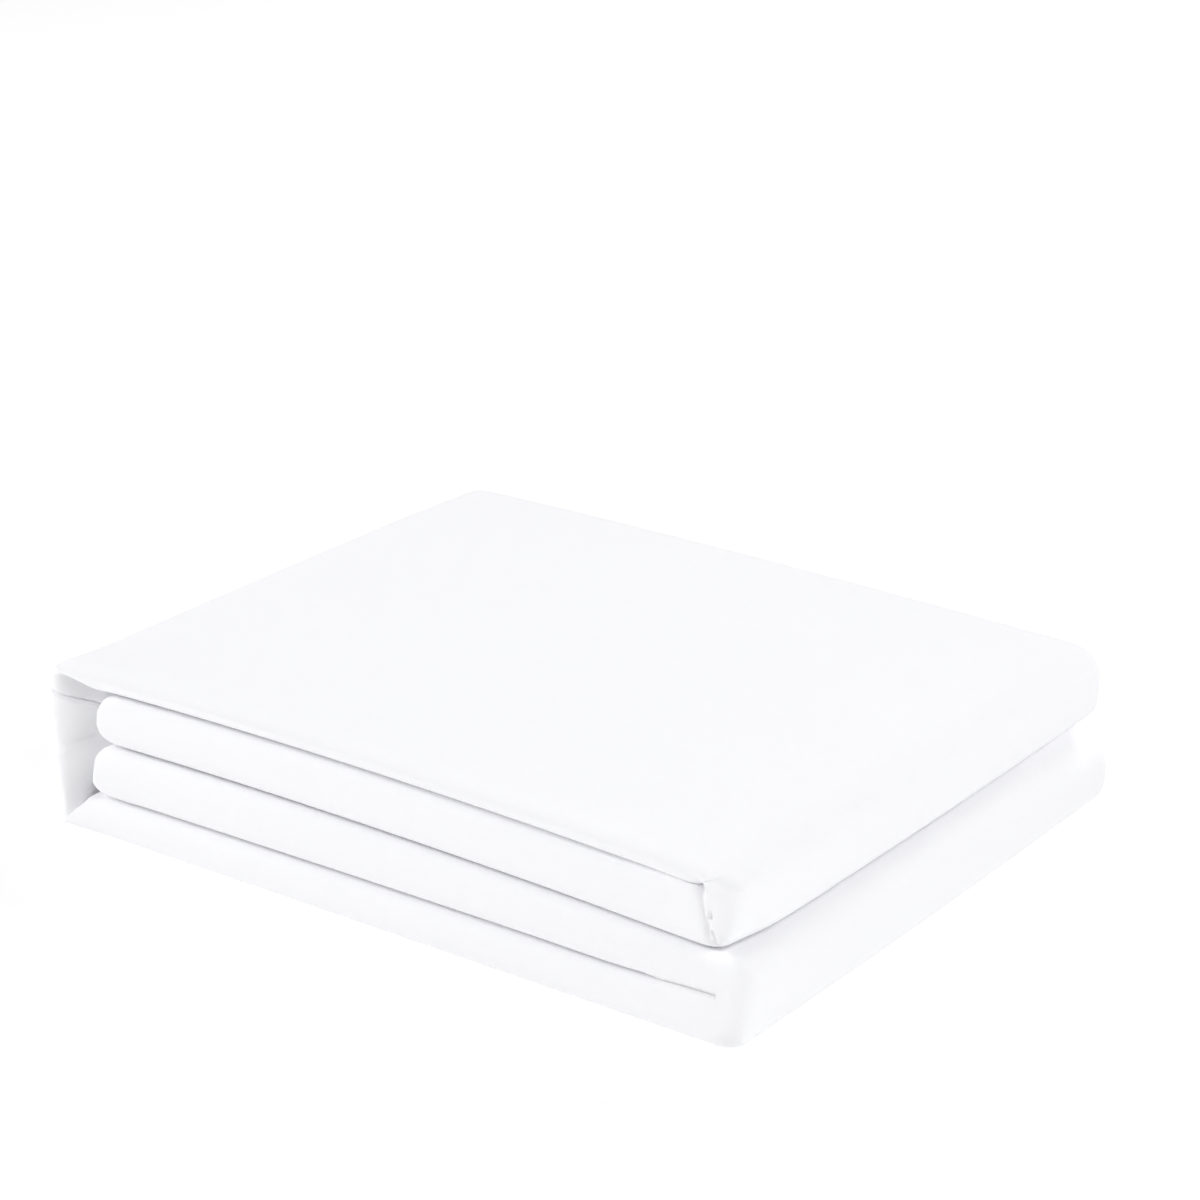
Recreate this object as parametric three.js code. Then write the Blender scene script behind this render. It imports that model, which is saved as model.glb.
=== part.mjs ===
// A folded flat bed sheet: one oblong of cloth, folded on itself as a real one is. It is halved along its
// length, so that its two hems meet, and folded in three across its width, the last third round the first.
// That leaves a long strip, whose ends are folded in to its middle before it is shut like a book.
// X runs from the book's spine to its two rolls, Y from the front folds to the back, and Z is up.
// Lengths are in millimetres. The origin is under the middle of the stack, on the surface it lies on.
import * as THREE from "three";

// The folded stack, as it lies.
const STACK_LENGTH = 300;
const STACK_WIDTH = 247;
const STACK_HEIGHT = 62;

// Each layer here stands for three of the real, thinner cloth with the air between them.
const CLOTH_THICK = 2;
const LEG_GAP = 0.6;

// The strip lies four deep: a bottom leg, two inner ones and a top one, each of three double layers.
const LEGS = 4;
const LAYERS_IN_LEG = 6;

// How far short of the lower roll the upper one stops, and how far inside the spine's outer face the
// strip's two ends lie: the end with the hems in the lower inner leg, and the one with the fold above it.
const ROLL_STEP = 5;
const HEM_END_INSET = 22;
const FOLD_END_INSET = 28;

// The ends of the strip are pressed to a blunt edge, over this length and down to this share.
const END_ROUNDING = 9;
const END_BLUNTNESS = 0.55;

// How square the strip's turns are: 2 is round, and a larger number is squarer.
const SQUARENESS = { rollTop: 2.2, rollUnder: 2.6, rollOnFloor: 4, spineFoot: 9, spineShoulder: 4 };

// Into how many bends each turn is divided, and where else the cloth has lines of points: across each leg,
// along it, and close to the strip's ends.
const BENDS = { lowRoll: 8, highRoll: 6, spine: 4, front: 6, back: 4, half: 2 };
const LENGTH_MARKS = [-105, -35, 35, 105];
const WIDTH_MARKS = [-108, -90, 0, 95];
const END_STEPS = [0, 2, 5, END_ROUNDING];
const MARK_CLEARANCE = 4;

// How the folded stack has settled: the heights of the three seams between its legs and of its top.
const HEIGHTS = {
  frontBySpine: { lowSeam: 15.5, midSeam: 37, highSeam: 56.5, top: 63 },
  frontByRolls: { lowSeam: 15.5, midSeam: 32, highSeam: 53, top: 60.5 },
  middleBySpine: { lowSeam: 17, midSeam: 34, highSeam: 48.5, top: 62.5 },
  middleByRolls: { lowSeam: 17, midSeam: 31, highSeam: 48, top: 62 },
  backBySpine: { lowSeam: 15.5, midSeam: 32.5, highSeam: 47, top: 62 },
  backByRolls: { lowSeam: 15.5, midSeam: 32, highSeam: 47.5, top: 60 },
};
const FRONT_SLOPE = 20;
const BACK_SLOPE = 24;

// How far each face stands out past its plain place, at its two ends and in the middle. The fronts and the
// back run from the spine to the rolls, and the spine and the rolls from the front to the back. Either side
// of the seam between the rolls, over this share of a leg, one roll's curve blends into the other's.
const STANDS_OUT = {
  bottomFront: { first: 0.5, middle: 0.5, last: 1.5 },
  innerLowFront: { first: 2, middle: -1, last: -0.5 },
  innerHighFront: { first: 3, middle: -4.5, last: 0 },
  topFront: { first: -1, middle: -5, last: 0.5 },
  back: { first: 1, middle: 1.5, last: -5.5 },
  spine: { first: -2.5, middle: 0, last: -0.5 },
  lowRoll: { first: -0.5, middle: 0, last: -2 },
  highRoll: { first: 1, middle: 1.5, last: -0.5 },
};
const FRONTS = ["bottomFront", "innerLowFront", "innerHighFront", "topFront"];
const FACE_DEPTH = 40;
const SPINE_DEPTH = 30;
const ROLL_SEAM_SHARE = 0.4;

// Sizes that follow from those above.
const LEFT = -STACK_LENGTH / 2;
const RIGHT = STACK_LENGTH / 2;
const FRONT = -STACK_WIDTH / 2;
const BACK = STACK_WIDTH / 2;
const LEG_THICK = (STACK_HEIGHT - (LEGS - 1) * LEG_GAP) / LEGS;
const LEG_PITCH = LEG_THICK + LEG_GAP;
const LAYER_PITCH = (LEG_THICK - CLOTH_THICK) / (LAYERS_IN_LEG - 1);
const QUARTER_TURN = Math.PI / 2;
const HALF_TURN = Math.PI;

const { clamp, lerp, smoothstep } = THREE.MathUtils;
const nearness = (distance, reach) => Math.exp(-((distance / reach) ** 2));

// A plane route of straight runs, each with the turn after it, positive to the left. A turn has a squareness
// for its first quarter and one for the rest. Cloth that follows the route is placed by its distance along
// the route and by its offset to the route's left.
class Route {
  constructor({ start, heading, legs }) {
    this.pieces = [];
    this.length = 0;
    const at = new THREE.Vector2(...start);
    let angle = heading;
    for (const { run, turn = 0, radius = 0, bends = 0, corners = [2, 2] } of legs) {
      this.add({ size: run, at: at.clone(), angle, bends: 1 });
      at.add(rotated(run, 0, angle));
      if (turn === 0) continue;
      const side = Math.sign(turn);
      const centre = rotated(0, side * radius, angle).add(at);
      const arc = { centre, side, radius, corners };
      this.add({ size: Math.abs(turn) * radius, at: at.clone(), angle, bends, ...arc });
      at.rotateAround(centre, turn);
      angle += turn;
    }
  }

  add(piece) {
    this.pieces.push({ ...piece, begins: this.length });
    this.length += piece.size;
  }

  place(distance, offset) {
    const piece = this.pieces.findLast(({ begins }) => distance >= begins) ?? this.pieces[0];
    const past = distance - piece.begins;
    if (!piece.centre) return rotated(past, offset, piece.angle).add(piece.at);
    const turned = past / piece.radius;
    const square = piece.corners[turned <= QUARTER_TURN ? 0 : 1];
    const spread = Math.abs(Math.cos(turned)) ** square + Math.abs(Math.sin(turned)) ** square;
    const reach = (piece.radius - piece.side * offset) * spread ** (-1 / square);
    return rotated(0, -piece.side * reach, piece.angle + piece.side * turned).add(piece.centre);
  }

  // The distances at which the cloth has a line of points: at each bend, at each run's start, and on each
  // level run where it passes one of the marks.
  stations(marks) {
    return this.pieces.flatMap(({ begins, size, bends, centre, at, angle }) => {
      const steps = Array.from({ length: bends }, (_, bend) => begins + (size * bend) / bends);
      const level = !centre && Math.round(Math.cos(angle)) !== 0;
      const passed = level ? marks.map((mark) => (mark - at.x) / Math.cos(angle)) : [];
      const inside = passed.filter((past) => past > MARK_CLEARANCE && past < size - MARK_CLEARANCE);
      return [...steps, ...inside.sort((a, b) => a - b).map((past) => begins + past)];
    });
  }
}

function rotated(x, y, angle) {
  return new THREE.Vector2(x, y).rotateAround(new THREE.Vector2(), angle);
}

// The strip's route, seen from the front: from its hems through its four legs to its fold.
const rollRadius = LEG_PITCH / 2;
const spineRadius = LEG_THICK / 2 + LEG_GAP;
const lowRollX = RIGHT - LEG_THICK / 2 - rollRadius;
const highRollX = lowRollX - ROLL_STEP;
const spineX = LEFT + LEG_THICK / 2 + spineRadius;
const hemEndX = LEFT + HEM_END_INSET;
const foldEndX = LEFT + FOLD_END_INSET;
const roll = { turn: -HALF_TURN, radius: rollRadius };
const spineTurn = { turn: -QUARTER_TURN, radius: spineRadius, bends: BENDS.spine };
const { rollTop, rollUnder, rollOnFloor, spineFoot, spineShoulder } = SQUARENESS;
const stripRoute = new Route({
  start: [hemEndX, LEG_THICK / 2 + LEG_PITCH],
  heading: 0,
  legs: [
    { run: lowRollX - hemEndX, ...roll, bends: BENDS.lowRoll, corners: [rollTop, rollOnFloor] },
    { run: lowRollX - spineX, ...spineTurn, corners: [spineFoot, spineFoot] },
    { run: (LEGS - 1) * LEG_PITCH - 2 * spineRadius, ...spineTurn, corners: [spineShoulder, spineShoulder] },
    { run: highRollX - spineX, ...roll, bends: BENDS.highRoll, corners: [rollTop, rollUnder] },
    { run: highRollX - foldEndX },
  ],
});

// The route across the width, seen from the end of a leg: from the edge that lies inside, to the back, round
// to the front, and round that edge to the back again.
const doubleLayer = 2 * LAYER_PITCH;
const frontY = FRONT + LEG_THICK / 2;
const backY = BACK - (doubleLayer + LAYER_PITCH + CLOTH_THICK) / 2;
const widthRoute = new Route({
  start: [frontY, 0],
  heading: 0,
  legs: [
    { run: backY - frontY, turn: HALF_TURN, radius: doubleLayer / 2, bends: BENDS.back },
    { run: backY - frontY, turn: HALF_TURN, radius: doubleLayer, bends: BENDS.front },
    { run: backY - frontY },
  ],
});

// The route along the length: from one hem along the strip to the fold, and back to the other hem.
const lengthRoute = new Route({
  start: [0, -LAYER_PITCH / 2],
  heading: 0,
  legs: [
    { run: stripRoute.length, turn: HALF_TURN, radius: LAYER_PITCH / 2, bends: BENDS.half },
    { run: stripRoute.length },
  ],
});

// The lines of points of the flat cloth, the same in every layer.
const stripStations = [
  ...END_STEPS,
  ...stripRoute.stations(LENGTH_MARKS).slice(1),
  ...END_STEPS.map((step) => stripRoute.length - step).reverse(),
];
const alongStations = [
  ...stripStations,
  lengthRoute.length / 2,
  ...stripStations.map((distance) => lengthRoute.length - distance).reverse(),
];
const acrossStations = [...widthRoute.stations(WIDTH_MARKS), widthRoute.length];

// The curve through a face's three values, at a place from -1 at its first end to 1 at its last.
function standsOut(face, place) {
  const { first, middle, last } = STANDS_OUT[face];
  return middle + ((last - first) / 2) * place + ((first + last) / 2 - middle) * place * place;
}

function settledHeight(x, y, z) {
  const byRolls = smoothstep(x, LEFT, RIGHT);
  const atFront = nearness(y - FRONT, FRONT_SLOPE);
  const atBack = nearness(BACK - y, BACK_SLOPE);
  const shares = { front: atFront, middle: 1 - atFront - atBack, back: atBack };
  const heightOf = (seam) =>
    Object.entries(shares).reduce((sum, [place, share]) => {
      const height = lerp(HEIGHTS[`${place}BySpine`][seam], HEIGHTS[`${place}ByRolls`][seam], byRolls);
      return sum + share * height;
    }, 0);
  const levels = [0, ...["lowSeam", "midSeam", "highSeam", "top"].map(heightOf)];
  const leg = clamp(Math.floor(z / LEG_PITCH), 0, LEGS - 1);
  return lerp(levels[leg], levels[leg + 1], z / LEG_PITCH - leg);
}

function settle(x, y, z) {
  const along = (2 * x) / STACK_LENGTH;
  const across = (2 * y) / STACK_WIDTH;
  const legsUp = clamp(z / LEG_PITCH - 0.5, 0, LEGS - 1);
  const leg = Math.min(Math.floor(legsUp), LEGS - 2);
  const forward = lerp(standsOut(FRONTS[leg], along), standsOut(FRONTS[leg + 1], along), legsUp - leg);
  const backward = standsOut("back", along);
  const left = standsOut("spine", across);
  const inHighRoll = smoothstep(z / LEG_PITCH, LEGS / 2 - ROLL_SEAM_SHARE, LEGS / 2 + ROLL_SEAM_SHARE);
  const right = lerp(standsOut("lowRoll", across), standsOut("highRoll", across), inHighRoll);
  return [
    x + right * nearness(RIGHT - x, FACE_DEPTH) - left * nearness(x - LEFT, SPINE_DEPTH),
    y + backward * nearness(BACK - y, FACE_DEPTH) - forward * nearness(y - FRONT, FACE_DEPTH),
    settledHeight(x, y, z),
  ];
}

// Where a point of the flat cloth lies once the cloth is folded, from its distances along the length and
// across the width and its lift from the cloth's middle.
function foldedPoint(along, across, lift) {
  const { x: inStrip, y: liftInPair } = lengthRoute.place(along, lift);
  const { x: y, y: liftInLeg } = widthRoute.place(across, liftInPair);
  const fromEnd = clamp(Math.min(inStrip, stripRoute.length - inStrip) / END_ROUNDING, 0, 1);
  const blunt = Math.sqrt(1 - (1 - END_BLUNTNESS ** 2) * (1 - fromEnd) ** 2);
  const { x, y: z } = stripRoute.place(inStrip, liftInLeg * blunt);
  return settle(x, y, z);
}

// The cloth starts as a flat box with a grid of points, one row or column for each line of points.
function sheetGeometry() {
  const rows = alongStations.length - 1;
  const columns = acrossStations.length - 1;
  const geometry = new THREE.BoxGeometry(rows, columns, CLOTH_THICK, rows, columns, 1);
  geometry.deleteAttribute("normal");
  geometry.deleteAttribute("uv");
  const points = geometry.getAttribute("position");
  for (let i = 0; i < points.count; i++) {
    const row = Math.round(points.getX(i) + rows / 2);
    const column = Math.round(points.getY(i) + columns / 2);
    points.setXYZ(i, ...foldedPoint(alongStations[row], acrossStations[column], points.getZ(i)));
  }
  geometry.computeBoundingBox();
  const { min, max } = geometry.boundingBox;
  return geometry.translate(-(min.x + max.x) / 2, -(min.y + max.y) / 2, -min.z);
}

const cotton = new THREE.MeshStandardMaterial({ color: 0xf4f4f8, roughness: 0.9, metalness: 0 });
const sheet = new THREE.Mesh(sheetGeometry(), cotton);
sheet.name = "sheet";

const stack = new THREE.Group();
stack.add(sheet);

export default stack;
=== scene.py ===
import math

import bmesh
import bpy
import numpy as np
from mathutils import Matrix, Vector


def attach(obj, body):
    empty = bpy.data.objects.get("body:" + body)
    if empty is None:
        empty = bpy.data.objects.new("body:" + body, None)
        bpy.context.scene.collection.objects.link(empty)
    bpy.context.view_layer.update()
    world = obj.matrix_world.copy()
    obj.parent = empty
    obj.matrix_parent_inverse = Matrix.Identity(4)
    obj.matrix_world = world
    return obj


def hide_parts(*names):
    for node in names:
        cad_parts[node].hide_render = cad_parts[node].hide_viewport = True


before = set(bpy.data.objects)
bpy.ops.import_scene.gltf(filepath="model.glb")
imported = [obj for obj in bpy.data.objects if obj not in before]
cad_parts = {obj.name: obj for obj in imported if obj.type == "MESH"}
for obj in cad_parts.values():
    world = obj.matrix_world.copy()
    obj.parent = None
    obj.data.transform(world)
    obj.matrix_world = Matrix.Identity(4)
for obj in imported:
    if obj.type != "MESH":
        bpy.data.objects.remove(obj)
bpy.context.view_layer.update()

# A folded flat bed sheet of thin white cotton, one continuous cloth, 72 layers deep where it lies.
# It is halved along its length, folded in three across its width, in three again, and the long strip that
# this leaves has its ends folded in to its middle before it is shut like a book.
# The folds are worked out in millimetres, and the finished cloth is in metres like everything else here.
MM = 0.001
QUARTER_TURN = math.pi / 2
HALF_TURN = math.pi

# The folded stack, as it lies. Its upper roll stops short of the lower one by the roll step. The strip's two
# ends lie a little inside the spine and are pressed to a blunt edge: over what length, and to what share.
STACK_LENGTH = 300
STACK_WIDTH = 247
STACK_HEIGHT = 62
LEGS = 4
LEG_GAP = 0.6
ROLL_STEP = 5
HEM_END_INSET = 21.5
FOLD_END_INSET = 25
END_ROUNDING = 9
END_BLUNTNESS = 0.5

# How square the strip's turns are: 2 is round, and a larger number is squarer.
SQUARENESS = {
    "roll_top": 2.4, "roll_under": 3.2, "roll_over": 3.2, "roll_on_floor": 3.2,
    "spine_foot": 9, "spine_shoulder": 4.5,
}

# The cloth: two halves, three layers of them from the first fold in three, and three of those in a leg.
CLOTH_THICK = 0.45
HALVES = 2
THIRDS = 3
LAYERS_IN_LEG = HALVES * THIRDS * THIRDS

# How the folded stack has settled: the heights of the three seams between its legs and of its top, at the
# spine and at the rolls.
HEIGHTS = {
    "front": {"low": (17, 17), "mid": (38.2, 33.6), "high": (57.6, 54.4), "top": (63, 60.5)},
    "middle": {"low": (17, 17), "mid": (34, 31), "high": (48.5, 48), "top": (62.5, 62)},
    "back": {"low": (15.5, 15.5), "mid": (32.5, 31.2), "high": (47, 47.5), "top": (62, 60)},
}
FRONT_SLOPE = 20
BACK_SLOPE = 24

# How far each face stands out past its plain place, at its first end, its middle and its last end.
FRONTS = [(-0.6, 0.2, 1.2), (2, -1, -0.5), (3, -4.5, 0), (-1, -5, 0.5)]
BACK_OUT = (1, 1.5, -5.5)
SPINE_OUT = (-2.5, 0, -0.5)
LOW_ROLL_OUT = (0.7, 1.2, -0.8)
HIGH_ROLL_OUT = (1, 1.5, -0.5)
FACE_DEPTH = 40
SPINE_DEPTH = 30
ROLL_SEAM_SHARE = 0.4

# The lower roll curves in further to the seam over it towards the back: by how much, between which places,
# how high up in legs, and over how many of them.
ROLL_NOTCH = 4.5
ROLL_NOTCH_FROM, ROLL_NOTCH_TO = 60, 115
ROLL_NOTCH_UP = 1.95
ROLL_NOTCH_HIGH = 0.5

# The lower roll is also rounder on top towards the back: how much less square, and between which places.
ROLL_BACK_ROUNDER = 1.3
ROLL_BACK = (-20, 100)

# Sizes that follow from those above.
LEFT, RIGHT = -STACK_LENGTH / 2, STACK_LENGTH / 2
FRONT, BACK = -STACK_WIDTH / 2, STACK_WIDTH / 2
LEG_THICK = (STACK_HEIGHT - (LEGS - 1) * LEG_GAP) / LEGS
LEG_PITCH = LEG_THICK + LEG_GAP
LAYER_PITCH = (LEG_THICK - CLOTH_THICK) / (LAYERS_IN_LEG - 1)
PAIR_PITCH = HALVES * LAYER_PITCH
PACK_PITCH = THIRDS * PAIR_PITCH


def nearness(distance, reach):
    return np.exp(-((distance / reach) ** 2))


def smooth(value, low, high):
    share = np.clip((value - low) / (high - low), 0, 1)
    return share * share * (3 - 2 * share)


def through(ends, place):
    """The curve through a face's three values, at a place from -1 at its first end to 1 at its last."""
    first, middle, last = ends
    return middle + (last - first) / 2 * place + ((first + last) / 2 - middle) * place * place


class Route:
    """A plane route of straight runs, each with the turn after it, positive to the left.
    Cloth that follows it is placed by its distance along the route and its offset to the route's left."""

    def __init__(self, start, heading, legs):
        self.pieces = []
        self.length = 0.0
        at, angle = np.array(start, float), heading
        for run, turn, radius, bends, corners, *steps in legs:
            self.add(size=run, at=at, angle=angle, bends=steps[0] if steps else 1, centre=None)
            at = at + run * np.array([math.cos(angle), math.sin(angle)])
            if not turn:
                continue
            side = math.copysign(1, turn)
            centre = at + side * radius * np.array([-math.sin(angle), math.cos(angle)])
            self.add(size=abs(turn) * radius, at=at, angle=angle, bends=bends, centre=centre,
                     side=side, radius=radius, corners=corners)
            angle += turn
            at = centre + side * radius * np.array([math.sin(angle), -math.cos(angle)])

    def add(self, **piece):
        self.pieces.append({**piece, "begins": self.length})
        self.length += piece["size"]

    def place(self, distance, offset, squarer=None):
        """Where the cloth lies. Its turns are squarer than the route says by the numbers in squarer."""
        across, up = np.zeros(distance.shape), np.zeros(distance.shape)
        begins = [piece["begins"] for piece in self.pieces]
        index = np.clip(np.searchsorted(begins, distance, side="right") - 1, 0, None)
        for number, piece in enumerate(self.pieces):
            here = index == number
            past, off = distance[here] - piece["begins"], offset[here]
            angle = piece["angle"]
            if piece["centre"] is None:
                across[here] = piece["at"][0] + past * math.cos(angle) - off * math.sin(angle)
                up[here] = piece["at"][1] + past * math.sin(angle) + off * math.cos(angle)
                continue
            turned = past / piece["radius"]
            square = np.where(turned <= QUARTER_TURN, *piece["corners"])
            if squarer is not None:
                square = square + squarer[here]
            spread = np.abs(np.cos(turned)) ** square + np.abs(np.sin(turned)) ** square
            reach = (piece["radius"] - piece["side"] * off) * spread ** (-1 / square)
            heading = angle + piece["side"] * turned
            across[here] = piece["centre"][0] + piece["side"] * reach * np.sin(heading)
            up[here] = piece["centre"][1] - piece["side"] * reach * np.cos(heading)
        return across, up

    def stations(self, marks, clearance):
        """The distances at which the cloth has a line of points: each bend, each run's start, and each mark
        that a level run passes."""
        found = []
        for piece in self.pieces:
            steps = [piece["size"] * bend / piece["bends"] for bend in range(piece["bends"])]
            level = round(math.cos(piece["angle"]))
            if piece["centre"] is None and level:
                passed = [(mark - piece["at"][0]) * level for mark in marks]
                steps += sorted(p for p in passed if clearance < p < piece["size"] - clearance)
            found += [piece["begins"] + step for step in steps]
        return found


ROUND = (2, 2)
BENDS = {"roll": 12, "spine": 8, "spine_run": 6, "front": 8, "back": 4, "fold": 2}

# Where the cloth has lines of points besides its bends: along the stack, and across it.
LENGTH_MARKS = (-120, -95, -60, 0, 60, 95, 118)
WIDTH_MARKS = (-116, -108, -99, -88, -70, 0, 70, 95, 110)
END_STEPS = (0, 0.3, 1, 2.2, 4, 6.3, END_ROUNDING)
MARK_CLEARANCE = 4


def strip_route():
    """The strip, seen from the front: from its hems through its four legs to its fold."""
    roll_radius = LEG_PITCH / 2
    spine_radius = LEG_THICK / 2 + LEG_GAP
    low_roll_x = RIGHT - LEG_THICK / 2 - roll_radius
    high_roll_x = low_roll_x - ROLL_STEP
    spine_x = LEFT + LEG_THICK / 2 + spine_radius
    hem_end_x = LEFT + HEM_END_INSET
    fold_end_x = LEFT + FOLD_END_INSET
    square = SQUARENESS
    low_roll = (-HALF_TURN, roll_radius, BENDS["roll"], (square["roll_over"], square["roll_on_floor"]))
    high_roll = (-HALF_TURN, roll_radius, BENDS["roll"], (square["roll_top"], square["roll_under"]))
    foot = (-QUARTER_TURN, spine_radius, BENDS["spine"], (square["spine_foot"],) * 2)
    shoulder = (-QUARTER_TURN, spine_radius, BENDS["spine"], (square["spine_shoulder"],) * 2)
    return Route((hem_end_x, LEG_THICK / 2 + LEG_PITCH), 0, [
        (low_roll_x - hem_end_x, *low_roll),
        (low_roll_x - spine_x, *foot),
        ((LEGS - 1) * LEG_PITCH - 2 * spine_radius, *shoulder, BENDS["spine_run"]),
        (high_roll_x - spine_x, *high_roll),
        (high_roll_x - fold_end_x, 0, 0, 0, ROUND),
    ])


def width_route():
    """Across a leg, seen from its end: from the edge inside it to the back, to the front, and round it."""
    front_y = FRONT + LEG_THICK / 2
    back_y = BACK - PACK_PITCH + (LAYER_PITCH - CLOTH_THICK) / 2
    run = back_y - front_y
    return Route((front_y, 0), 0, [
        (run, HALF_TURN, PACK_PITCH / 2, BENDS["back"], ROUND),
        (run, HALF_TURN, PACK_PITCH, BENDS["front"], ROUND),
        (run, 0, 0, 0, ROUND),
    ])


def thirds_route(length):
    return Route((0, 0), 0, [
        (length, HALF_TURN, PAIR_PITCH / 2, BENDS["fold"], ROUND),
        (length, HALF_TURN, PAIR_PITCH, BENDS["fold"], ROUND),
        (length, 0, 0, 0, ROUND),
    ])


def halves_route(length):
    return Route((0, -LAYER_PITCH / 2), 0, [
        (length, HALF_TURN, LAYER_PITCH / 2, BENDS["fold"], ROUND),
        (length, 0, 0, 0, ROUND),
    ])


strip = strip_route()
width = width_route()
thirds = thirds_route(width.length)
halves = halves_route(strip.length)


def there_and_back(route, stations):
    """The lines of points of cloth that is folded on a route of level runs, each with the same stations."""
    found = []
    for piece in route.pieces:
        if piece["centre"] is not None:
            steps = [piece["size"] * bend / piece["bends"] for bend in range(1, piece["bends"])]
        elif round(math.cos(piece["angle"])) > 0:
            steps = stations
        else:
            steps = [route.pieces[0]["size"] - station for station in reversed(stations)]
        found += [piece["begins"] + step for step in steps]
    return found


strip_stations = [
    *END_STEPS,
    *(
        station for station in strip.stations(LENGTH_MARKS, MARK_CLEARANCE)
        if END_ROUNDING + MARK_CLEARANCE < station < strip.length - END_ROUNDING - MARK_CLEARANCE
    ),
    *(strip.length - step for step in reversed(END_STEPS)),
]
along_stations = there_and_back(halves, strip_stations)
across_stations = there_and_back(thirds, [*width.stations(WIDTH_MARKS, MARK_CLEARANCE), width.length])
LAST_THIRD = thirds.pieces[-1]


def settled_height(x, y, z):
    by_rolls = smooth(x, LEFT, RIGHT)
    at_front, at_back = nearness(y - FRONT, FRONT_SLOPE), nearness(BACK - y, BACK_SLOPE)
    shares = {"front": at_front, "middle": 1 - at_front - at_back, "back": at_back}
    levels = [np.zeros(x.shape)]
    for seam in ("low", "mid", "high", "top"):
        ends = {place: HEIGHTS[place][seam] for place in shares}
        levels.append(sum(
            share * (ends[place][0] + (ends[place][1] - ends[place][0]) * by_rolls)
            for place, share in shares.items()
        ))
    levels = np.stack(levels)
    leg = np.clip(np.floor(z / LEG_PITCH), 0, LEGS - 1).astype(int)
    below = np.take_along_axis(levels, leg[None], 0)[0]
    above = np.take_along_axis(levels, leg[None] + 1, 0)[0]
    return below + (above - below) * (z / LEG_PITCH - leg)


def settle(x, y, z):
    along, across = 2 * x / STACK_LENGTH, 2 * y / STACK_WIDTH
    legs_up = np.clip(z / LEG_PITCH - 0.5, 0, LEGS - 1)
    leg = np.minimum(np.floor(legs_up), LEGS - 2).astype(int)
    curves = np.stack([through(ends, along) for ends in FRONTS])
    low_front = np.take_along_axis(curves, leg[None], 0)[0]
    high_front = np.take_along_axis(curves, leg[None] + 1, 0)[0]
    forward = low_front + (high_front - low_front) * (legs_up - leg)
    in_high_roll = smooth(z / LEG_PITCH, LEGS / 2 - ROLL_SEAM_SHARE, LEGS / 2 + ROLL_SEAM_SHARE)
    low_roll, high_roll = through(LOW_ROLL_OUT, across), through(HIGH_ROLL_OUT, across)
    right = low_roll + (high_roll - low_roll) * in_high_roll
    notch = ROLL_NOTCH * nearness(z / LEG_PITCH - ROLL_NOTCH_UP, ROLL_NOTCH_HIGH) * (z < LEGS / 2 * LEG_PITCH)
    right -= notch * smooth(y, ROLL_NOTCH_FROM, ROLL_NOTCH_TO)
    left = through(SPINE_OUT, across)
    backward = through(BACK_OUT, along)
    return (
        x + right * nearness(RIGHT - x, FACE_DEPTH) - left * nearness(x - LEFT, SPINE_DEPTH),
        y + backward * nearness(BACK - y, FACE_DEPTH) - forward * nearness(y - FRONT, FACE_DEPTH),
        settled_height(x, y, z),
    )


LOW_ROLL, FOOT, SHOULDER, HIGH_ROLL = (strip.pieces[number] for number in (1, 3, 5, 7))
BACK_TURN, FRONT_TURN = (width.pieces[number] for number in (1, 3))

# How thick the folded strip is, as a share of a plain leg, at distances past the middle of the turn at the
# spine's foot: it is pinched at that turn, and swells between the two turns.
SPINE_THICKNESS = {
    -16: 1, -8: 0.9, 0: 0.6, 7: 0.85, 13: 1.13, 17: 1.26, 28: 1.27, 31: 1.4, 33: 1.35, 36.5: 1.01,
    50.5: 1, 57: 1.2, 60: 1.18, 64: 1,
}

# It is so at the front, and less and less between these two places towards the back.
THICKER_UP_TO = (-40, 80)

# How much squarer the front folds are where they close on a seam, and near the rolls, over what length of
# strip; and in each roll's own turn, where a seam ends, between what distances from its middle that fades.
SEAM_FRONT_SQUARER = 0.9
ROLL_FRONT_SQUARER = 2.5
OUTER_ROLL_FRONT_SQUARER = 1.5
ROLL_FRONT_REACH = 45
ROLL_CENTRE_SQUARER = ((LOW_ROLL, 25), (HIGH_ROLL, 2))
ROLL_CENTRE_FROM, ROLL_CENTRE_TO = 16, 38

# The middles of the rolls, where the seams end, lie further out than those of plain rolls, and the seams rise
# towards them: by how much, over what distance along the stack and up.
ROLL_MIDDLES = ((LOW_ROLL, 4, 2.6), (HIGH_ROLL, 3, 1))
MIDDLE_OUT_REACH = (6.5, 6.5)
MIDDLE_UP_REACH = (22, 7)

# The strip's two ends are rounded at their front edge: how far back, over what depth and length of strip.
END_CORNER = 4
END_CORNER_DEPTH = 8
END_CORNER_REACH = 16

# The hems' end slants too: how much further right it is for each millimetre up.
HEM_END_SLANT = 0.3

# Along the strip, the spine's own shapes come in past the start of the turn at its foot, and fade past the
# start of the turn at its shoulder.
SPINE_COMES_IN = (1.5, 6.5)
SPINE_FADES = (14, 34)

# The spine's front fold slants back from its left edge to the ends of the inner legs: by how much at each,
# between which places, over what depth of the stack, and below a line under the top leg's front edge.
SPINE_RECESS = (1, 14)
SPINE_RECESS_FROM, SPINE_RECESS_TO = -149, -131
SPINE_RECESS_DEPTH = 30
TOP_EDGE = ((-142, 61.5), (-118, 58))
TOP_EDGE_SLANT = 4

# How deep in the stack the small folds of its front reach.
SMALL_FOLDS_DEPTH = 28

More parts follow.
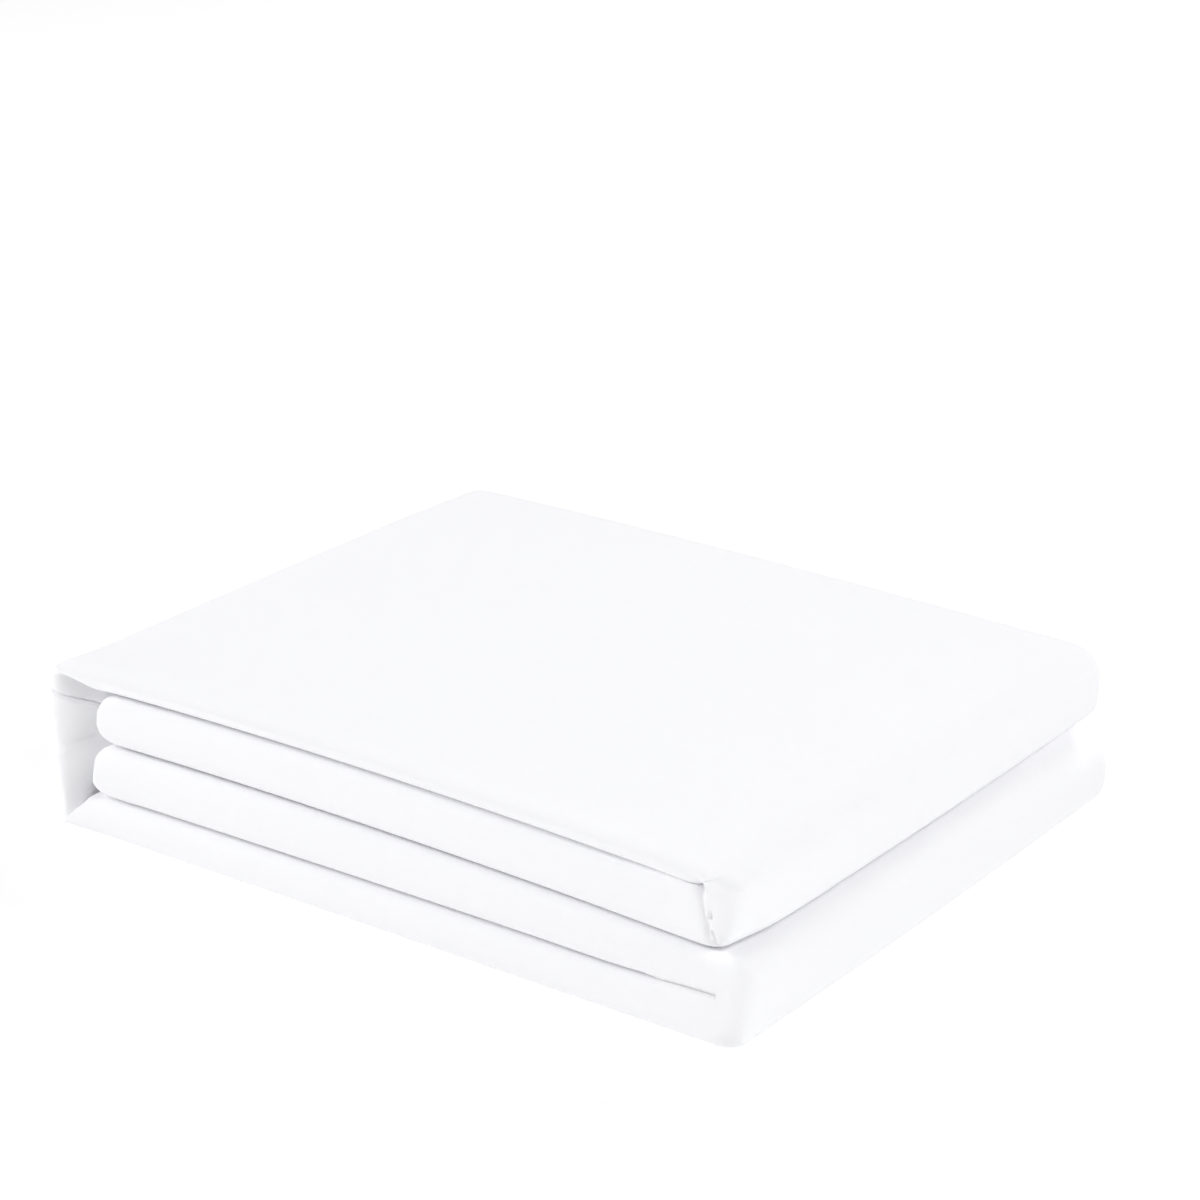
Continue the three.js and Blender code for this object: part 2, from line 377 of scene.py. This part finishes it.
# Three folds cross the front of the spine: a pleat under the top leg's edge, a soft crease further down, and
# a mitre up from the near left corner. Each is a groove between cloth that stands out above and below it: its
# height at two places, and above and below it, by how much the cloth stands out, over what height that fades,
# and how wide the groove is. They have this share of their depth at the left, and grow between two places.
PLEAT = {"line": ((-147.2, 53.2), (-131.3, 47.2)), "out": (2, 3.4), "fade": (9, 9), "wide": (0.32, 0.32)}
SOFT_CREASE = {"line": ((-148, 28.4), (-134.5, 35.5)), "out": (0.5, 1.6), "fade": (9, 9), "wide": (0.8, 0.8)}
MITRE = {"line": ((-145, 1), (-133.4, 11.9)), "out": (1.2, 0), "fade": (6, 6), "wide": (0.4, 0.4)}
SPINE_FOLDS_AT_LEFT = 0.3
SPINE_FOLDS_FROM, SPINE_FOLDS_TO = -149, -138

# The front's slant begins over the mitre, within this height.
MITRE_SHARP = 0.8

# The outermost cloth has lines of points along the pleat, at these distances from it, where it is near the
# pleat and not further right or back than this place.
PLEAT_CUTS = (-0.65, -0.38, -0.1, 0.1, 0.38, 0.65)
PLEAT_CUT_REACH = 3
PLEAT_CUT_TO = (-126, -104)

# The near corner's small folds. The lap is the edge where the roll's cloth comes over the leg's: a groove
# that has its x at two heights, and its left side before its right one. The ledge is a short groove over it.
# They come in between the first two places and fade between the last two.
LAP = {
    "line": ((37, 138), (55, 134)), "out": (1.8, 1.9), "fade": (6, 6), "wide": (2.2, 0.45),
    "comes_in": (34, 38), "fades": (54, 57),
}
LEDGE = {
    "line": ((134, 57), (141, 59)), "out": (1.1, 0.3), "fade": (3, 3), "wide": (0.4, 0.4),
    "comes_in": (133.5, 134.5), "fades": (139, 142),
}

# The small hollow at the lap's top goes through all layers, the inner ones over a wider place.
HOLLOW = {"place": (133.2, 54), "deep": 3, "reach": 2, "inner_reach": 3.5}
HOLLOW_DEPTH = 12

# Each wrinkle has its x and z, its slant, half its width, half its height and how deep it is. The outermost
# layer may go in by no more than the limit.
WRINKLES = [
    (137.3, 44.5, 0.25, 0.6, 3, 2.2),
    (138.5, 40.5, -0.3, 0.6, 3.5, 2),
    (133.5, 46, -0.2, 2.6, 9, 0.3),
]
INWARD_LIMIT = -0.3


def middle_of(piece):
    return piece["begins"] + piece["size"] / 2


def end_of(piece):
    return piece["begins"] + piece["size"]


def height_of(line, x):
    (x0, z0), (x1, z1) = line
    return z0 + (z1 - z0) * (x - x0) / (x1 - x0)


def by_front(y):
    """All over the depth of the small folds, fading at their back half."""
    return smooth(FRONT + SMALL_FOLDS_DEPTH - y, 0, SMALL_FOLDS_DEPTH / 2)


def by_groove(fold, past):
    """How far cloth stands out on the two sides of a groove, at a distance past it."""
    out, fade, wide = (np.where(past > 0, fold[name][1], fold[name][0]) for name in ("out", "fade", "wide"))
    return out * np.exp(-abs(past) / fade) * (1 - nearness(past, wide))


def spine_recess(x, y, z, on_spine):
    """How far the front of the spine lies back."""
    at_left, at_right = SPINE_RECESS
    recess = at_left + (at_right - at_left) * smooth(x, SPINE_RECESS_FROM, SPINE_RECESS_TO)
    recess *= smooth(height_of(TOP_EDGE, x) - z, 0, TOP_EDGE_SLANT)
    return on_spine * nearness(y - FRONT, SPINE_RECESS_DEPTH) * recess


def spine_folds(x, y, z, on_spine):
    """How far the outermost layer stands out from the front of the spine: below its mitre, where it doesn't
    slant back, and at its folds."""
    before_slant = 1 - smooth(z - height_of(MITRE["line"], x), 0, MITRE_SHARP)
    folds = sum(by_groove(fold, height_of(fold["line"], x) - z) for fold in (PLEAT, SOFT_CREASE, MITRE))
    from_left = smooth(x, SPINE_FOLDS_FROM, SPINE_FOLDS_TO)
    folds *= SPINE_FOLDS_AT_LEFT + (1 - SPINE_FOLDS_AT_LEFT) * from_left
    return spine_recess(x, y, z, on_spine) * before_slant + folds * on_spine * by_front(y)


def from_hollow(x, z):
    return np.hypot(x - HOLLOW["place"][0], z - HOLLOW["place"][1])


def roll_folds(x, y, z):
    """How far the outermost layer stands out at the front of the upper roll."""
    lap = by_groove(LAP, x - height_of(LAP["line"], z))
    lap *= smooth(z, *LAP["comes_in"]) * (1 - smooth(z, *LAP["fades"]))
    ledge = by_groove(LEDGE, height_of(LEDGE["line"], x) - z)
    ledge *= smooth(x, *LEDGE["comes_in"]) * (1 - smooth(x, *LEDGE["fades"]))
    wrinkles = sum(
        deep * nearness(x - at_x - slant * (z - at_z), across) * nearness(z - at_z, high)
        for at_x, at_z, slant, across, high, deep in WRINKLES
    )
    by_hollow = from_hollow(x, z)
    kept = nearness(by_hollow, HOLLOW["inner_reach"]) - nearness(by_hollow, HOLLOW["reach"])
    return by_front(y) * (np.maximum(lap + ledge - wrinkles, INWARD_LIMIT) + HOLLOW["deep"] * kept)


def on_outermost(along, across):
    """Which points of the flat cloth end up in the outermost layer."""
    return (along < strip.length) & (across > LAST_THIRD["begins"])


def folded(along, across, lift):
    """Where points of the flat cloth lie once it is folded, and how far its small folds stand out there."""
    in_strip, lift_in_pair = halves.place(along, lift)
    in_width, lift_in_pack = thirds.place(across, lift_in_pair)
    inside_front = in_width > middle_of(FRONT_TURN)
    outside_front = (in_width > FRONT_TURN["begins"]) & ~inside_front
    in_low_leg = 1 - smooth(in_strip, LOW_ROLL["begins"], middle_of(LOW_ROLL))
    in_high_leg = smooth(in_strip, middle_of(HIGH_ROLL), end_of(HIGH_ROLL))
    by_middle_seam = (in_low_leg + in_high_leg) * outside_front
    squarer = SEAM_FRONT_SQUARER * (inside_front + by_middle_seam)
    for roll, centre_squarer in ROLL_CENTRE_SQUARER:
        from_roll = abs(in_strip - middle_of(roll))
        squarer += ROLL_FRONT_SQUARER * nearness(from_roll, ROLL_FRONT_REACH) * inside_front
        squarer += OUTER_ROLL_FRONT_SQUARER * nearness(from_roll, ROLL_FRONT_REACH) * by_middle_seam
        squarer += centre_squarer * (1 - smooth(from_roll, ROLL_CENTRE_FROM, ROLL_CENTRE_TO)) * inside_front
    y, lift_in_leg = width.place(in_width, lift_in_pack, squarer)
    to_end = np.clip(np.minimum(in_strip, strip.length - in_strip), 0, None)
    from_end = np.clip(to_end / END_ROUNDING, 0, 1)
    blunt = END_BLUNTNESS + (1 - END_BLUNTNESS) * np.sqrt(1 - (1 - from_end) ** 2)
    outermost = LEG_THICK / 2
    thickness = 1 + (np.interp(in_strip - middle_of(FOOT), *zip(*SPINE_THICKNESS.items())) - 1) * (
        1 - smooth(y, *THICKER_UP_TO)
    )
    lift_in_strip = outermost - (outermost - lift_in_leg * blunt) * thickness
    rounder = ROLL_BACK_ROUNDER * smooth(y, *ROLL_BACK) * (in_strip < middle_of(LOW_ROLL))
    x, z = strip.place(in_strip, lift_in_strip, -rounder)
    at_edge = np.clip(1 - (y - FRONT) / END_CORNER_DEPTH, 0, 1)
    x = x + END_CORNER * (1 - np.sqrt(1 - at_edge ** 2)) * nearness(to_end, END_CORNER_REACH)
    x = x + HEM_END_SLANT * (z - strip.pieces[0]["at"][1]) * nearness(in_strip, END_CORNER_REACH)
    for roll, out, up in ROLL_MIDDLES:
        along_by, up_by = x - roll["centre"][0], z - roll["centre"][1]
        near, rising = (
            nearness(np.hypot(along_by / along_reach, up_by / up_reach), 1)
            for along_reach, up_reach in (MIDDLE_OUT_REACH, MIDDLE_UP_REACH)
        )
        x, z = x + out * near, z + up * rising
    x, y, z = settle(x, y, z)
    on_spine = smooth(in_strip - FOOT["begins"], *SPINE_COMES_IN)
    on_spine *= 1 - smooth(in_strip - SHOULDER["begins"], *SPINE_FADES)
    stands_out = (spine_folds(x, y, z, on_spine) + roll_folds(x, y, z)) * on_outermost(along, across)
    y = y + spine_recess(x, y, z, on_spine)
    in_hollow = nearness(from_hollow(x, z), HOLLOW["inner_reach"]) * nearness(y - FRONT, HOLLOW_DEPTH)
    y = y + HOLLOW["deep"] * in_hollow
    return np.stack((x, y, z), axis=1), stands_out


# Outermost cloth that shows, and the part of it that shows fine folds: by how many more lines of points each
# square of it is divided, and how far it reaches past the front turn, before the turn at the spine's foot,
# past the one at its shoulder and past the upper roll's.
SHOWN = {"cuts": 2, "front": 22, "foot": 10}
FINE = {"cuts": 1, "front": 7, "foot": 12, "shoulder": 20, "roll": 12}


def past_front_turn(in_width):
    return abs(in_width - middle_of(FRONT_TURN)) - FRONT_TURN["size"] / 2


def is_shown(in_strip, in_width):
    outside = (BACK_TURN["begins"] < in_width) & (in_width < FRONT_TURN["begins"])
    on_spine_or_top = (FOOT["begins"] - SHOWN["foot"] < in_strip) & (in_strip < end_of(HIGH_ROLL))
    on_low_roll = abs(in_strip - middle_of(LOW_ROLL)) < LOW_ROLL["size"]
    return (past_front_turn(in_width) < SHOWN["front"]) | (outside & (on_spine_or_top | on_low_roll))


def is_fine(in_strip, in_width):
    by_spine = (FOOT["begins"] - FINE["foot"] < in_strip) & (in_strip < end_of(SHOULDER) + FINE["shoulder"])
    by_roll = abs(in_strip - middle_of(HIGH_ROLL)) < HIGH_ROLL["size"] / 2 + FINE["roll"]
    return (past_front_turn(in_width) < FINE["front"]) & (by_spine | by_roll)


def on_cloth(places):
    """How far along and across the flat cloth places are that are given by its lines of points."""
    along = np.interp(places[:, 0], range(len(along_stations)), along_stations)
    across = np.interp(places[:, 1], range(len(across_stations)), across_stations)
    return along, across


def refine(bm, is_wanted, cuts):
    """Divides some squares of the outermost layer."""
    along, across = on_cloth(np.array([face.calc_center_median() for face in bm.faces]))
    wanted = on_outermost(along, across) & is_wanted(along, across - LAST_THIRD["begins"])
    edges = {edge for face, want in zip(bm.faces, wanted) if want for edge in face.edges}
    bmesh.ops.subdivide_edges(bm, edges=list(edges), cuts=cuts, use_grid_fill=True)


def points_on_cloth(bm):
    """How far along and across the flat cloth its points are, and on which side: 0 below and 1 above."""
    flat = np.array([vert.co for vert in bm.verts])
    return *on_cloth(flat), flat[:, 2]


def cut_along_pleat(bm):
    """Cuts the outermost layer along the spine's pleat and its two sides, so that it shows crisply."""
    furthest_x, furthest_y = PLEAT_CUT_TO
    for distance in PLEAT_CUTS:
        bm.verts.index_update()
        along, across, _ = points_on_cloth(bm)
        points, _ = folded(along, across, np.zeros(along.shape))
        x, y, z = points.T
        past = height_of(PLEAT["line"], x) - z - distance
        near = (abs(past) < PLEAT_CUT_REACH) & (x < furthest_x) & (y < furthest_y)
        near &= on_outermost(along, across)
        cut = []
        for edge in list(bm.edges):
            first, second = (vert.index for vert in edge.verts)
            if near[first] and near[second] and past[first] * past[second] < 0:
                share = past[first] / (past[first] - past[second])
                cut.append(bmesh.utils.edge_split(edge, edge.verts[0], share)[1])
        bmesh.ops.connect_verts(bm, verts=cut)


# Edges that turn by more than this, in radians, look sharp.
SHARP_ANGLE = 1


def flat_cloth():
    """The flat cloth as a thin box of squares, one for each pair of neighbouring lines of points."""
    rows, columns = len(along_stations) - 1, len(across_stations) - 1
    bm = bmesh.new()
    bmesh.ops.create_grid(bm, x_segments=rows, y_segments=columns, size=0.5)
    stretch = Matrix.Diagonal((rows, columns, 1, 1)) @ Matrix.Translation((0.5, 0.5, 0))
    bmesh.ops.transform(bm, matrix=stretch, verts=bm.verts)
    refine(bm, is_shown, SHOWN["cuts"])
    refine(bm, is_fine, FINE["cuts"])
    cut_along_pleat(bm)
    grown = bmesh.ops.extrude_face_region(bm, geom=bm.faces[:])
    top = [item for item in grown["geom"] if isinstance(item, bmesh.types.BMVert)]
    bmesh.ops.translate(bm, vec=(0, 0, 1), verts=top)
    bmesh.ops.recalc_face_normals(bm, faces=bm.faces)
    for edge in bm.edges:
        edge.smooth = edge.calc_face_angle(0) < SHARP_ANGLE
    for face in bm.faces:
        face.smooth = True
    bm.verts.index_update()
    return bm


# Each hem is a little thicker than the plain cloth, over its width.
HEM_WIDTH = 22
HEM_THICKER = 1.5


def make_sheet():
    bm = flat_cloth()
    along, across, side = points_on_cloth(bm)
    in_hem = np.minimum(along, halves.length - along) < HEM_WIDTH
    lift = (side - 0.5) * CLOTH_THICK * np.where(in_hem, HEM_THICKER, 1)
    points, _ = folded(along, across, lift)
    _, stands_out = folded(along, across, np.zeros(lift.shape))
    points[:, 1] -= stands_out
    middle = (points.min(axis=0) + points.max(axis=0)) / 2
    middle[2] = points[:, 2].min()
    threads = bm.loops.layers.uv.new("threads")
    for face in bm.faces:
        for loop in face.loops:
            index = loop.vert.index
            loop[threads].uv = (across[index] * MM, along[index] * MM)
    for vert, place in zip(bm.verts, (points - middle) * MM):
        vert.co = place
    mesh = bpy.data.meshes.new("cotton_sheet")
    bm.to_mesh(mesh)
    bm.free()
    piece = bpy.data.objects.new("cotton_sheet", mesh)
    bpy.context.scene.collection.objects.link(piece)
    return piece


# The cotton, a cool white: its threads with their slubs, its soft patches and its hems' stitches, in metres.
# A stitch is where a wave along the seam is above its start.
COTTON_WHITE = (0.955, 0.955, 0.972, 1)
THREAD_PITCH = 0.0004
SLUB_LENGTH, SLUB_WIDTH = 0.03, 0.0011
SLUB_DETAIL = 2
PATCHES_IN_METRE = 18
PATCH_DETAIL = 3
HEM_STITCH_FROM_END = 0.02
STITCH_LENGTH = 0.003
STITCH_WIDTH = 0.0006
STITCH_START = -0.4

# The shades of its slubs and patches, how rough its threads are, and its soft sheen.
SLUB_SHADES = (0.985, 1.01)
PATCH_SHADES = (0.992, 1.004)
THREAD_ROUGHNESS = (0.82, 0.95)
SHEEN = 0.12
SHEEN_ROUGHNESS = 0.5
SPECULAR = 0.25

# How high its unevenness stands, in metres, and how strongly it shows.
RELIEF = {
    "patches": (0.001, 0.25), "slubs": (0.0002, 0.4), "weave": (0.00004, 0.5), "stitches": (0.0003, 0.8),
}


def make_cotton():
    material = bpy.data.materials.new("white_cotton")
    material.use_nodes = True
    nodes, links = material.node_tree.nodes, material.node_tree.links
    cloth = nodes["Principled BSDF"]

    def put(value, socket):
        if isinstance(value, bpy.types.NodeSocket):
            links.new(value, socket)
        else:
            socket.default_value = value

    def math_node(operation, first, second=0.0):
        node = nodes.new("ShaderNodeMath")
        node.operation = operation
        put(first, node.inputs[0])
        put(second, node.inputs[1])
        return node.outputs[0]

    def vector(x, y):
        node = nodes.new("ShaderNodeCombineXYZ")
        put(x, node.inputs[0])
        put(y, node.inputs[1])
        return node.outputs[0]

    def noise(place, scale, detail):
        node = nodes.new("ShaderNodeTexNoise")
        put(place, node.inputs["Vector"])
        node.inputs["Scale"].default_value = scale
        node.inputs["Detail"].default_value = detail
        return node.outputs["Fac"]

    def ramp(value, low, high):
        node = nodes.new("ShaderNodeMapRange")
        put(value, node.inputs["Value"])
        node.inputs["To Min"].default_value, node.inputs["To Max"].default_value = low, high
        return node.outputs["Result"]

    def bump(height, distance, strength, normal):
        node = nodes.new("ShaderNodeBump")
        put(height, node.inputs["Height"])
        node.inputs["Distance"].default_value = distance
        node.inputs["Strength"].default_value = strength
        if normal is not None:
            links.new(normal, node.inputs["Normal"])
        return node.outputs["Normal"]

    threads = nodes.new("ShaderNodeUVMap")
    threads.uv_map = "threads"
    split = nodes.new("ShaderNodeSeparateXYZ")
    links.new(threads.outputs["UV"], split.inputs[0])
    across, along = split.outputs[0], split.outputs[1]
    place = nodes.new("ShaderNodeTexCoord").outputs["Object"]

    turn = math.pi / THREAD_PITCH
    over = math_node("SINE", math_node("MULTIPLY", across, turn))
    under = math_node("SINE", math_node("MULTIPLY", along, turn))
    weave = math_node("MULTIPLY", over, under)
    slubs = [
        noise(vector(math_node("DIVIDE", across, wide), math_node("DIVIDE", along, long)), 1, SLUB_DETAIL)
        for wide, long in ((SLUB_WIDTH, SLUB_LENGTH), (SLUB_LENGTH, SLUB_WIDTH))
    ]
    uneven = math_node("MULTIPLY", math_node("ADD", *slubs), 0.5)
    patches = noise(place, PATCHES_IN_METRE, PATCH_DETAIL)

    from_end = math_node("MINIMUM", along, math_node("SUBTRACT", halves.length * MM, along))
    off_seam = math_node("ABSOLUTE", math_node("SUBTRACT", from_end, HEM_STITCH_FROM_END))
    on_seam = math_node("LESS_THAN", off_seam, STITCH_WIDTH / 2)
    wave = math_node("SINE", math_node("MULTIPLY", across, 2 * math.pi / STITCH_LENGTH))
    on_stitch = math_node("GREATER_THAN", wave, STITCH_START)
    stitches = math_node("MULTIPLY", on_seam, on_stitch)

    tone = math_node("MULTIPLY", ramp(uneven, *SLUB_SHADES), ramp(patches, *PATCH_SHADES))
    colour = nodes.new("ShaderNodeMix")
    colour.data_type = "RGBA"
    colour.blend_type = "MULTIPLY"
    colour.inputs["Factor"].default_value = 1
    shade = nodes.new("ShaderNodeCombineColor")
    for channel in shade.inputs:
        links.new(tone, channel)
    plain, shaded = (socket for socket in colour.inputs if socket.type == "RGBA")
    plain.default_value = COTTON_WHITE
    links.new(shade.outputs[0], shaded)
    mixed = next(socket for socket in colour.outputs if socket.type == "RGBA")
    links.new(mixed, cloth.inputs["Base Color"])
    links.new(ramp(uneven, *THREAD_ROUGHNESS), cloth.inputs["Roughness"])
    cloth.inputs["Sheen Weight"].default_value = SHEEN
    cloth.inputs["Sheen Roughness"].default_value = SHEEN_ROUGHNESS
    cloth.inputs["Specular IOR Level"].default_value = SPECULAR
    heights = {"patches": patches, "slubs": uneven, "weave": weave, "stitches": stitches}
    normal = None
    for kind, (high, strength) in RELIEF.items():
        normal = bump(heights[kind], high, strength, normal)
    links.new(normal, cloth.inputs["Normal"])
    return material


# The studio's soft lights, square, in metres. Each has its power in watts, and which way it stands from the
# front towards the right and how high, in degrees. All are turned to a place in the stack.
LIGHT_SIZE = 1.3
LIGHT_DISTANCE = 3
LIT_PLACE = (0, 0, 0.03)
LIGHTS = {
    "low_left": (27, -55, 15),
    "front_left": (32, -35, 38),
    "left": (11, -100, 38),
    "back": (46, 180, 38),
    "right": (25, 65, 38),
    "side": (30, 90, 38),
}


def make_light(name, power, place):
    light = bpy.data.lights.new(name, "AREA")
    light.shape = "SQUARE"
    light.size = LIGHT_SIZE
    light.energy = power
    lamp = bpy.data.objects.new(name, light)
    lamp.location = place
    lamp.rotation_euler = (Vector(LIT_PLACE) - Vector(place)).to_track_quat("-Z", "Y").to_euler()
    bpy.context.scene.collection.objects.link(lamp)


def make_lights():
    for name, (power, azimuth, elevation) in LIGHTS.items():
        level = LIGHT_DISTANCE * math.cos(math.radians(elevation))
        place = (
            level * math.sin(math.radians(azimuth)),
            -level * math.cos(math.radians(azimuth)),
            LIGHT_DISTANCE * math.sin(math.radians(elevation)),
        )
        make_light(name, power, place)


# The floor, in metres: a matt grey that glows a little, so that it is white all round the stack.
FLOOR_SIZE = 60
FLOOR_GREY = (0.42, 0.42, 0.42, 1)
FLOOR_ROUGHNESS = 0.9
GLOW_WHITE = (1, 1, 1, 1)
GLOW = 0.62


def make_floor():
    bm = bmesh.new()
    bmesh.ops.create_grid(bm, x_segments=1, y_segments=1, size=FLOOR_SIZE)
    mesh = bpy.data.meshes.new("floor")
    bm.to_mesh(mesh)
    bm.free()
    floor = bpy.data.objects.new("floor", mesh)
    bpy.context.scene.collection.objects.link(floor)
    material = bpy.data.materials.new("white_floor")
    material.use_nodes = True
    surface = material.node_tree.nodes["Principled BSDF"]
    surface.inputs["Base Color"].default_value = FLOOR_GREY
    surface.inputs["Emission Color"].default_value = GLOW_WHITE
    surface.inputs["Emission Strength"].default_value = GLOW
    surface.inputs["Roughness"].default_value = FLOOR_ROUGHNESS
    mesh.materials.append(material)


def make_studio():
    """The room round the stack, which is dark, so that all light comes from the lights and the floor."""
    studio = bpy.data.worlds.new("studio")
    studio.use_nodes = True
    studio.node_tree.nodes["Background"].inputs["Strength"].default_value = 0
    bpy.context.scene.world = studio


# The camera: where it stands and which way it looks from there, in millimetres and degrees, its
# lens and sensor in millimetres, and between what distances it sees, in metres.
CAMERA_PLACE = (653.1, -889.7, 499.8)
CAMERA_AZIMUTH = 36.08
CAMERA_ELEVATION = 20.74
CAMERA_LENS = 100
CAMERA_SENSOR = 36
CAMERA_SEES = (0.05, 50)


def make_camera():
    camera = bpy.data.cameras.new("camera")
    camera.lens = CAMERA_LENS
    camera.sensor_width = CAMERA_SENSOR
    camera.clip_start, camera.clip_end = CAMERA_SEES
    stand = bpy.data.objects.new("camera", camera)
    bpy.context.scene.collection.objects.link(stand)
    azimuth, elevation = math.radians(CAMERA_AZIMUTH), math.radians(CAMERA_ELEVATION)
    back = Vector((
        math.sin(azimuth) * math.cos(elevation),
        -math.cos(azimuth) * math.cos(elevation),
        math.sin(elevation),
    ))
    stand.location = Vector(CAMERA_PLACE) * MM
    stand.rotation_euler = (-back).to_track_quat("-Z", "Y").to_euler()
    bpy.context.scene.camera = stand


sheet = make_sheet()
sheet.data.materials.append(make_cotton())
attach(sheet, "root")
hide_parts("sheet")
make_floor()
make_studio()
make_lights()
make_camera()
bpy.context.scene.view_settings.view_transform = "Standard"
bpy.context.scene.view_settings.exposure = 0
